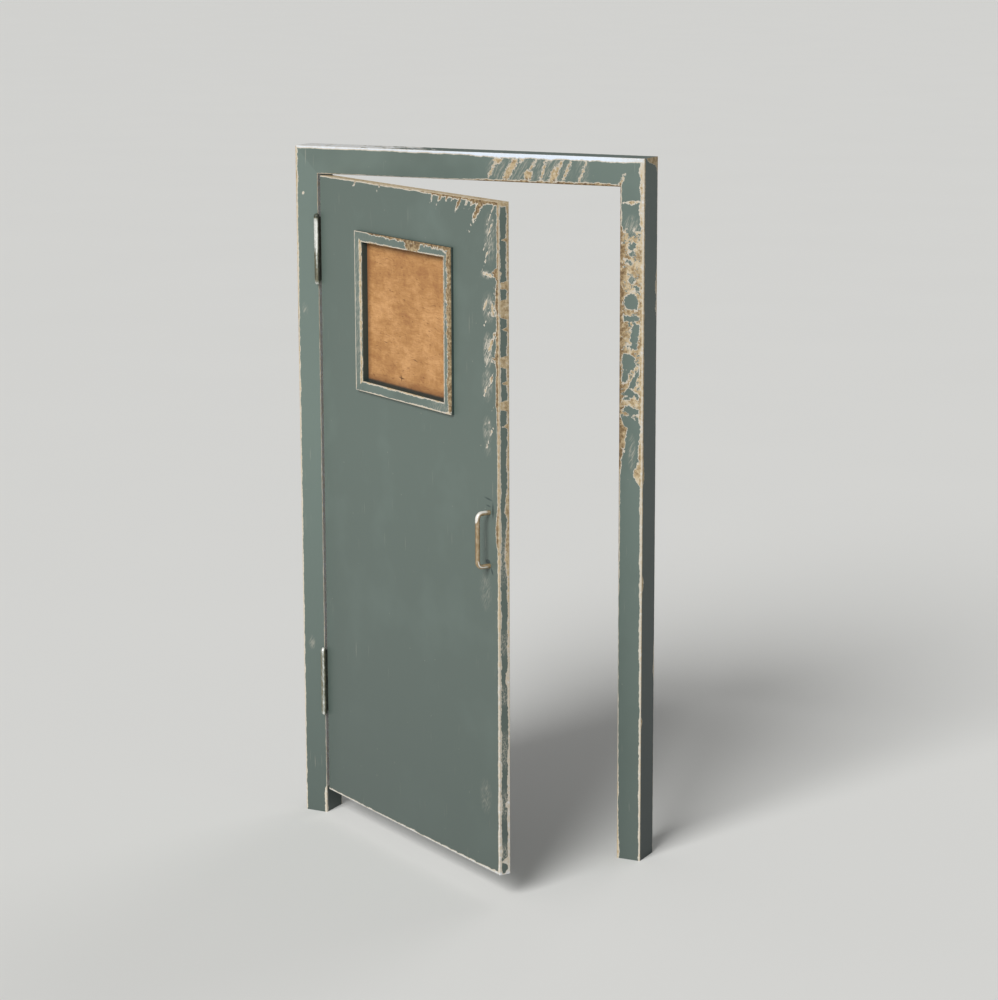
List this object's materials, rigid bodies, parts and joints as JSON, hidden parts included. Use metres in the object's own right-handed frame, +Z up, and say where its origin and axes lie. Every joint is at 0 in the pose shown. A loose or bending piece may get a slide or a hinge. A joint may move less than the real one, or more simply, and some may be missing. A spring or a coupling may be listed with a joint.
{
  "type": "steel door in its frame",
  "caption": "Hollow sheet-steel door leaf standing ajar on barrel hinges in a mitred box-section frame, with a boarded window and a round-bar pull.",
  "frame": {"origin": "foot of the hinge jamb's outer face, at the middle of the frame's depth", "axes": "+X from the hinge side to the lock side, +Y from the front to the back, +Z up"},
  "size_m": [1.215, 0.6483, 2.2],
  "materials": {
    "green_paint": "worn grey-green paint, chipped to rust at the edges",
    "board_plywood": "bare weathered plywood",
    "handle_steel": "steel bar with worn brown patina, bright at the bends",
    "hinge_steel": "bare steel, rusty in places",
    "inner_steel": "dull primer"
  },
  "bodies": {
    "frame": {"frame_head": "green_paint", "hinge_jamb": "green_paint", "lower_hinge_bottom_tip": "hinge_steel", "lower_hinge_frame_plate": "hinge_steel", "lower_hinge_pin": "hinge_steel", "strike_jamb": "green_paint", "upper_hinge_bottom_tip": "hinge_steel", "upper_hinge_frame_plate": "hinge_steel", "upper_hinge_pin": "hinge_steel"},
    "leaf": {"leaf_back_sheet": "green_paint", "leaf_bottom_channel": "inner_steel", "leaf_front_sheet": "green_paint", "leaf_hinge_stile": "inner_steel", "leaf_lock_stile": "inner_steel", "leaf_top_channel": "inner_steel", "lower_hinge_leaf_plate": "hinge_steel", "pull_handle": "handle_steel", "upper_hinge_leaf_plate": "hinge_steel", "window_back_bead_bottom": "green_paint", "window_back_bead_hinge_side": "green_paint", "window_back_bead_lock_side": "green_paint", "window_back_bead_top": "green_paint", "window_board": "board_plywood", "window_front_bead_bottom": "green_paint", "window_front_bead_hinge_side": "green_paint", "window_front_bead_lock_side": "green_paint", "window_front_bead_top": "green_paint", "window_liner": "inner_steel"}
  },
  "joints": [
    {"name": "leaf_hinge", "type": "hinge", "parent": "frame", "child": "leaf", "pos_m": [0.0825, -0.0615, 0], "axis": [0, 0, -1], "range_deg": [-30.35, 139.65]}
  ]
}
